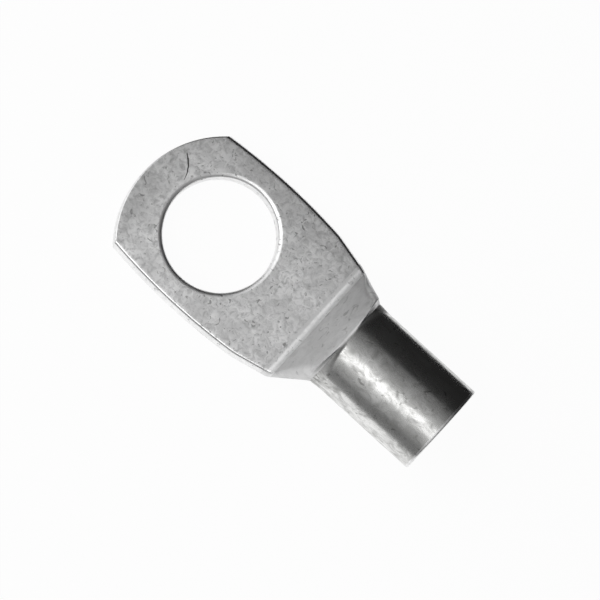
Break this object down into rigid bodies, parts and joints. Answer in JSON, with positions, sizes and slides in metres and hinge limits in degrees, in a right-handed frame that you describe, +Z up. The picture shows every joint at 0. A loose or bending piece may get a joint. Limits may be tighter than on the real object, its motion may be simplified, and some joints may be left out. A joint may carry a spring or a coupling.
{
  "type": "ring terminal",
  "caption": "Tinned copper tube terminal with a flat ring palm, a punched stud hole and a short round barrel for a crimped wire.",
  "frame": {"origin": "centre of the stud hole, on the flat underside of the palm", "axes": "+X runs from the stud hole to the open end of the barrel, +Z is up out of the palm along the stud hole's axis, and +Y is across the palm"},
  "size_m": [0.0441, 0.0192, 0.0115],
  "materials": {
    "tinned_copper": "satin"
  },
  "bodies": {
    "root": {"terminal": "tinned_copper"}
  },
  "joints": []
}
